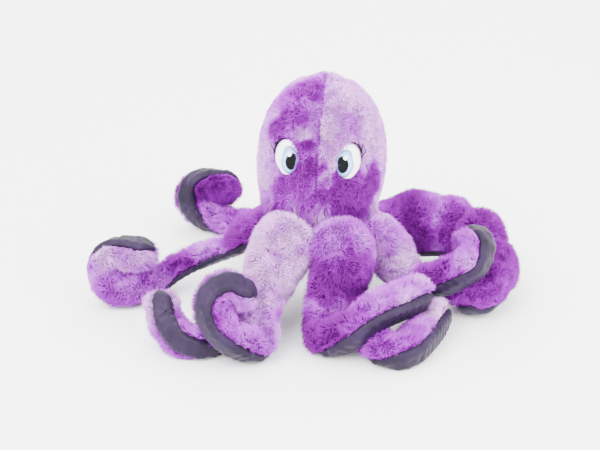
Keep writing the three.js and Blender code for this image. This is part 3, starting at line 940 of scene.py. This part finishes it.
class PLUSH_OT_eyes(bpy.types.Operator):
    """Sews the two eyes on in layers: white, lash line, iris, pupil and glint"""
    bl_idname = "object.plush_eyes"
    bl_label = "Eyes"

    def execute(self, context):
        eyes = settings("plush_eyes")
        shape = head_shape()
        layer = eyes.layer / MM
        rise = eyes.rise / MM
        white = cloth_material("eye_white_cloth", tuple(eyes.white), 0.05)
        black = cloth_material("eye_black_cloth", tuple(eyes.pupil), 0.3, 0.7)
        iris = iris_material()
        for word, eye in EYES.items():
            half = (eyes.half_width / MM, eyes.half_height / MM)
            parts = (
                ("white", (0, 0), half, rise - 2.6, rise, white),
                ("iris", (4.0, -2.5), (8.6, 13.3), rise - 0.6, rise + layer, iris),
                ("pupil", (6.3, -3.6), (5.4, 8.6), rise + 0.2, rise + 2 * layer, black),
                ("glint", (4.4, 2.8), (2.5, 2.9), rise + 1.0, rise + 3 * layer - 0.1, white))
            for part, middle, size, low, high, material in parts:
                piece = eye_patch(f"eye_{part}_{word}_patch", shape, eye, middle, size, low, high, material)
                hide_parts(f"eye_{part}_{word}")
                if part == "iris":
                    self.mark_rim(piece, shape, eye, middle, size)
            self.lash(shape, word, eye, half, rise, black)
        return {"FINISHED"}

    def mark_rim(self, piece, shape, eye, middle, size):
        flat, _ = eye_plane(shape, places(piece.data) / MM, *eye)
        rim = np.hypot((flat[:, 0] - middle[0]) / size[0], (flat[:, 1] - middle[1]) / size[1])
        layer = piece.data.attributes.new("rim", "FLOAT", "POINT")
        layer.data.foreach_set("value", np.clip(rim, 0, 1).astype(np.float32))

    def lash(self, shape, word, eye, half, rise, material):
        """A crescent of black thread over the eye's outer top, with three lashes."""
        side, turn, height = eye
        strokes = [([(math.radians(a), 1.0) for a in range(172, 68, -8)], 0.5, 1.5, 0.35)]
        for start, reach in ((160, 1.34), (141, 1.30), (122, 1.24)):
            steps = [(math.radians(start - 3.5 * i), mixed(1.0, reach, i / 4)) for i in range(5)]
            strokes.append((steps, 1.1, 0.8, 0.2))
        objects = []
        for number, (path, first, thickest, last) in enumerate(strokes):
            select_only(bpy.context.view_layer.objects[0])
            sides, rings = 8, len(path) - 1
            bpy.ops.mesh.primitive_cylinder_add(vertices=sides, radius=1, depth=1, end_fill_type="TRIFAN")
            obj = bpy.context.active_object
            bpy.ops.object.mode_set(mode="EDIT")
            bpy.ops.mesh.select_all(action="SELECT")
            for level in range(1, rings):
                bpy.ops.mesh.select_all(action="SELECT")
                bpy.ops.mesh.bisect(plane_co=(0, 0, -0.5 + level / rings), plane_no=(0, 0, 1))
            bpy.ops.object.mode_set(mode="OBJECT")
            rows = places(obj.data)
            part = rows[:, 2] + 0.5
            angle = np.interp(part, np.linspace(0, 1, len(path)), [p[0] for p in path])
            reach = np.interp(part, np.linspace(0, 1, len(path)), [p[1] for p in path])
            girth = np.interp(part, [0, 0.5, 1], [first, thickest, last])
            spread = rows[:, 0] * girth * 0.9
            flat = np.stack([(half[0] * reach + spread) * np.cos(angle),
                             (half[1] * reach + spread) * np.sin(angle)], axis=1)
            lift = rise + 0.2 + 2.2 * eased((reach - 1) / 0.3) + rows[:, 1] * girth * 0.6
            set_places(obj.data, laid_on_head(shape, flat, side, turn, height, lift) * MM)
            outward(obj)
            objects.append(obj)
        select_only(*objects)
        bpy.ops.object.join()
        piece = bpy.context.active_object
        piece.name = piece.data.name = f"eye_lash_{word}_stitched"
        dressed(piece, material)
        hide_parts(f"eye_lash_{word}")
        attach(piece, "head")


# ---- legs ----


def leg_dye(line, distance, angle, place):
    stops = LEG_DYE[line.name]
    warped = distance + 8.0 * soft_noise(place, 14.0, 4) + 3 * np.cos(angle)
    dye = np.interp(warped, [s for s, _ in stops], [d for _, d in stops])
    dye = dye + 0.26 * soft_noise(place, 17.0, 6) + 0.10 * soft_noise(place, 6.0, 7)
    return np.clip(dye, 0, 1)


SIDES = 40


class PLUSH_OT_legs(bpy.types.Operator):
    """Stuffs the eight legs, gives them their pile and sews on their satin soles"""
    bl_idname = "object.plush_legs"
    bl_label = "Legs"

    def execute(self, context):
        satin = settings("plush_soles")
        material = pile_material("pile_legs", 0.14)
        sole_material = satin_material("sole_satin", satin.shaded_satin, satin.light)
        for number, name in enumerate(LEG_NAMES):
            line = leg_line(name)
            skin, grid = self.stuffed(line)
            self.cover(line, skin, grid, material, 100 + number)
            self.sole(line, grid, sole_material, number)
        return {"FINISHED"}

    def bend_over_hinge(self, piece, line):
        way = Vector((line.at(np.array([22.0]))[0][0] - line.hinge).tolist()).normalized()
        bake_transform(piece)

    def stuffed(self, line):
        """The leg's cloth as a ball stretched along its line, and its vertices as a grid."""
        rings = 10 + int(line.length / 3.6)
        skin = ball(f"{line.name}_skin", SIDES, rings)
        ring, angle = ball_steps(skin, rings)
        distance, part = line.stations(ring, rings)
        place, tangent, sole, across, radius = line.at(distance)
        seam = settings("plush_soles").half_turn
        inset = settings("plush_stuffing").start_inset / MM
        full, flare = LEG_FULLNESS[line.name]
        radius = radius + full + flare * np.exp(-(np.maximum(distance, 0) / 38) ** 2)
        girth = radius - inset - 0.9 * np.exp(-(np.abs(np.abs(angle) - seam) / 0.16) ** 2)
        for at, depth, width in LEG_FOLDS.get(line.name, ()):
            girth -= depth * np.exp(-((distance - at) / width) ** 2) * eased((np.abs(angle) - seam) / 0.7)
        flat = np.where(np.abs(angle) < 1.5, 0.86 / np.maximum(np.cos(angle), 0.2), 1.0)
        girth = girth * np.minimum(1.0, flat) * part
        rows = place + sole * (girth * np.cos(angle))[:, None] + across * (girth * np.sin(angle))[:, None]
        rows[:, 2] = np.maximum(rows[:, 2], 1.6)
        set_places(skin.data, rows * MM)
        outward(skin)
        held = np.where(np.abs(np.abs(angle) - seam) < math.pi / SIDES, 1.0, 0.0)
        held = np.where((np.abs(angle) < seam) & (distance > 0), 0.9, held)
        held = np.where(distance < 4, 1.0, held)
        stuff(skin, held)
        rows = places(skin.data) / MM
        rows[:, 2] = np.maximum(rows[:, 2], 1.6)
        set_places(skin.data, rows * MM)
        steps = np.round(angle / (2 * math.pi) * SIDES).astype(int) % SIDES
        levels = np.round(ring).astype(int)
        grid = np.zeros((rings + 1, SIDES, 3))
        grid[levels, steps] = rows
        grid[0, :] = rows[levels == 0][0]
        grid[rings, :] = rows[levels == rings][0]
        return skin, {"rows": grid, "ring": ring, "angle": angle, "distance": distance, "rings": rings}

    def cover(self, line, skin, grid, material, seed):
        pile = settings("plush_pile")
        seam = settings("plush_soles").half_turn
        rng = np.random.default_rng(seed)
        count = int(surface_area(skin.data) * pile.leg_tufts)
        feet, normals, picked, weights = scatter(skin.data, count, rng)
        angle_parts = np.stack([np.cos(grid["angle"]), np.sin(grid["angle"])], axis=1)
        turned = (angle_parts[picked] * weights[:, :, None]).sum(1)
        angle = np.arctan2(turned[:, 1], turned[:, 0])
        distance = (grid["distance"][picked] * weights).sum(1)
        tangent = line.at(distance)[1]
        keep = (np.abs(angle) > seam - 0.02) & (distance > -0.8 * line.radii[0])
        feet, normals, angle, distance, tangent = (a[keep] for a in (feet, normals, angle, distance, tangent))
        leans = tangent * 0.3 + soft_vectors(feet, 11.0, 1) * 0.85 + soft_vectors(feet, 4.0, 2) * 0.3
        leans += rng.normal(0, 0.16, feet.shape)
        leans[:, 2] -= 0.12
        near_seam = np.exp(-((np.abs(angle) - seam) / 0.22) ** 2)
        leans += np.cross(tangent, normals) * (np.sign(angle) * near_seam * self.turn_sense(line))[:, None] * 0.8
        leans -= normals * (leans * normals).sum(1)[:, None]
        dye = leg_dye(line, distance, angle, feet)
        lengths = pile.leg_pile / MM * (0.75 + 0.45 * rng.random(len(feet)))
        lengths *= (1 - 0.3 * near_seam) * (0.8 + 0.2 * eased(distance / 20))
        width = pile.tuft_width / MM * 0.5 * (0.8 + 0.45 * rng.random(len(feet)))
        vertices, faces, tip = plant(feet - normals * 0.3, normals, leans, lengths, width)
        stride = len(SHAPES["tuft"][0])
        shade = np.repeat(0.80 + 0.34 * rng.random(len(feet)), stride)
        base = places(skin.data) / MM
        skin_dye = leg_dye(line, grid["distance"], grid["angle"], base)
        piece = furred(f"{line.name}_leg_plush", skin,
                       (vertices, faces, tip, np.repeat(dye, stride), shade), skin_dye, material)
        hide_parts(f"{line.name}_leg_cover", f"{line.name}_leg_stuffing")
        self.bend_over_hinge(piece, line)

    @staticmethod
    def turn_sense(line):
        """Whether cross(tangent, normal) runs with growing angle (1) or against it (-1)."""
        _, tangent, sole, across, _ = line.at(np.array([line.length / 2]))
        return float(np.sign(np.dot(np.cross(tangent[0], sole[0]), across[0])))

    def sole(self, line, grid, material, number):
        satin = settings("plush_soles")
        rings = grid["rings"]
        first, last = 6.0, rings - 1.3
        along_steps = int((last - first) * 2.2)
        across_steps = 16
        select_only(bpy.context.view_layer.objects[0])
        bpy.ops.mesh.primitive_grid_add(x_subdivisions=across_steps, y_subdivisions=along_steps, size=2)
        obj = bpy.context.active_object
        obj.name = obj.data.name = f"{line.name}_leg_satin_sole"
        rows = places(obj.data)
        across, way = rows[:, 0], (rows[:, 1] + 1) / 2
        ring = mixed(first, last, way)
        angle = across * satin.half_turn * (1 - 0.25 * eased((way - 0.93) / 0.07))
        foot, normal = self.sample(grid, ring, angle)
        distance, _ = line.stations(ring, rings)
        ripple = np.sin(distance / (satin.gather / MM) * 2 * math.pi + 3 * soft_noise(foot, 12.0, number + 2))
        rise = satin.stand_off / MM * (1 - np.abs(across) ** 4) + 0.1
        rise += 0.45 * ripple * np.abs(across) ** 2 + 0.35 * soft_noise(foot, 9.0, number + 20)
        top = foot + normal * rise[:, None]
        top[:, 2] = np.maximum(top[:, 2], 0.3)
        set_places(obj.data, top * MM)
        layer = obj.data.attributes.new("fold", "FLOAT", "POINT")
        layer.data.foreach_set("value", (ripple * np.abs(across)).astype(np.float32))
        if np.mean((np.array([p.normal for p in obj.data.polygons])[:20]) @ normal[:20].mean(0)) < 0:
            obj.data.flip_normals()
        thicken = obj.modifiers.new("Thickness", "SOLIDIFY")
        thicken.thickness = satin.thickness
        thicken.offset = -1
        apply_modifiers(obj)
        outward(obj)
        dressed(obj, material)
        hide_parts(f"{line.name}_leg_sole")
        self.bend_over_hinge(obj, line)

    def sample(self, grid, ring, angle):
        """Place and outward normal on the leg's cloth at fractional rings and angles."""
        rows = grid["rows"]

        def at(r, a):
            r = np.clip(r, 0, rows.shape[0] - 1.001)
            i = r.astype(int)
            f = (r - i)[:, None]
            column = (a / (2 * math.pi) * SIDES) % SIDES
            j = column.astype(int) % SIDES
            g = (column - np.floor(column))[:, None]
            k = (j + 1) % SIDES
            return mixed(mixed(rows[i, j], rows[i, k], g), mixed(rows[i + 1, j], rows[i + 1, k], g), f)

        place = at(ring, angle)
        along = at(ring + 0.6, angle) - at(ring - 0.6, angle)
        round_way = at(ring, angle + 0.08) - at(ring, angle - 0.08)
        normal = unit(np.cross(round_way, along))
        centre = rows[np.clip(np.round(ring).astype(int), 0, rows.shape[0] - 1)].mean(1)
        flip = np.sign(((place - centre) * normal).sum(1))[:, None]
        return place, normal * np.where(flip == 0, 1, flip)


# ---- base panel ----


class PLUSH_OT_base_panel(bpy.types.Operator):
    """Makes the round satin panel that closes the head below"""
    bl_idname = "object.plush_base_panel"
    bl_label = "Base panel"

    def execute(self, context):
        satin = settings("plush_soles")
        shape = head_shape()
        select_only(bpy.context.view_layer.objects[0])
        bpy.ops.mesh.primitive_cylinder_add(vertices=96, radius=1, depth=1)
        obj = bpy.context.active_object
        obj.name = obj.data.name = "base_panel_cloth"
        bpy.ops.object.mode_set(mode="EDIT")
        bpy.ops.mesh.select_mode(type="FACE")
        for up in (1, -1):
            bpy.ops.object.mode_set(mode="OBJECT")
            for polygon in obj.data.polygons:
                polygon.select = polygon.normal.z * up > 0.9
            bpy.ops.object.mode_set(mode="EDIT")
            for thickness in (0.03, 0.1, 0.25, 0.3):
                bpy.ops.mesh.inset(thickness=thickness, depth=0)
            bpy.ops.mesh.poke()
        bpy.ops.object.mode_set(mode="OBJECT")
        rows = places(obj.data)
        radius = np.linalg.norm(rows[:, :2], axis=1)
        angle = np.arctan2(rows[:, 1], rows[:, 0])
        edge = eased((radius - 0.55) / 0.45)
        thick = 2.8 * np.sqrt(np.clip(1.02 - radius**8, 0.05, 1))
        own = np.stack([rows[:, 0] * 46, rows[:, 1] * 46,
                        -1.8 + rows[:, 2] * thick + 0.35 * edge * np.sin(angle * 30)], axis=1)
        set_places(obj.data, shape.to_frame(own) * MM)
        outward(obj)
        dressed(obj, satin_material("panel_satin", satin.shaded_satin, satin.light))
        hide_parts("base_panel")
        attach(obj, "head")
        return {"FINISHED"}


# ---- stage ----


class PLUSH_OT_stage(bpy.types.Operator):
    """Sets up the camera, the pale floor and the soft studio light"""
    bl_idname = "object.plush_stage"
    bl_label = "Stage"

    def execute(self, context):
        stage = settings("plush_stage")
        scene = context.scene
        camera = bpy.data.objects.new("camera", bpy.data.cameras.new("camera"))
        scene.collection.objects.link(camera)
        camera.location = (-0.46 * MM, -stage.camera_distance, stage.camera_height)
        camera.rotation_euler = (math.pi / 2 - stage.camera_down, 0, 0)
        camera.data.lens = stage.lens
        camera.data.sensor_width = 36.0
        camera.data.clip_start = 0.01
        scene.camera = camera
        select_only(bpy.context.view_layer.objects[0])
        bpy.ops.mesh.primitive_plane_add(size=stage.floor_size)
        floor = bpy.context.active_object
        floor.name = "floor"
        material, tree, shader = new_material("floor_pale", 0.9, specular=0.1)
        shader.inputs["Base Color"].default_value = (*stage.floor_colour, 1)
        floor.data.materials.append(material)
        world = bpy.data.worlds.new("studio")
        world.use_nodes = True
        world.node_tree.nodes["Background"].inputs["Color"].default_value = (1, 1, 1, 1)
        world.node_tree.nodes["Background"].inputs["Strength"].default_value = 4.2
        scene.world = world
        for name, place, size, power in (
                ("key_light", (-0.9, -1.3, 1.7), 1.4, 104.0),
                ("fill_light", (1.3, -0.9, 1.2), 1.6, 56.0),
                ("back_light", (0.2, 1.4, 1.5), 1.6, 50.0)):
            light = bpy.data.objects.new(name, bpy.data.lights.new(name, "AREA"))
            light.data.size = size
            light.data.energy = power
            light.location = place
            aim = Vector((0, 0, 0.08)) - Vector(place)
            light.rotation_euler = aim.to_track_quat("-Z", "Y").to_euler()
            scene.collection.objects.link(light)
        return {"FINISHED"}


class PLUSH_PT_panel(bpy.types.Panel):
    """Lists the toy's pieces"""
    bl_label = "Plush Octopus"
    bl_idname = "PLUSH_PT_panel"
    bl_space_type = "VIEW_3D"
    bl_region_type = "UI"
    bl_category = "Plush Octopus"

    def draw(self, context):
        for operator, group in STEPS:
            box = self.layout.box()
            box.operator(operator.bl_idname)
            chosen = getattr(context.scene, group)
            for key in chosen.__annotations__:
                box.prop(chosen, key)


STEPS = (
    (PLUSH_OT_stage, "plush_stage"),
    (PLUSH_OT_head, "plush_pile"),
    (PLUSH_OT_eyes, "plush_eyes"),
    (PLUSH_OT_legs, "plush_soles"),
    (PLUSH_OT_base_panel, "plush_stuffing"),
)
GROUPS = {
    "plush_stage": PlushStageSettings,
    "plush_pile": PlushPileSettings,
    "plush_stuffing": PlushStuffingSettings,
    "plush_soles": PlushSoleSettings,
    "plush_eyes": PlushEyeSettings,
}
CLASSES = (*GROUPS.values(), *(operator for operator, _ in STEPS), PLUSH_PT_panel)


def register():
    for cls in CLASSES:
        bpy.utils.register_class(cls)
    for name, group in GROUPS.items():
        setattr(bpy.types.Scene, name, bpy.props.PointerProperty(type=group))


def unregister():
    for name in GROUPS:
        delattr(bpy.types.Scene, name)
    for cls in reversed(CLASSES):
        bpy.utils.unregister_class(cls)


def main():
    register()
    bpy.ops.object.plush_stage()
    SHAPES["tuft"] = tuft_shape()
    bpy.ops.object.plush_head()
    bpy.ops.object.plush_eyes()
    bpy.ops.object.plush_base_panel()
    bpy.ops.object.plush_legs()


if __name__ == "__main__":
    main()
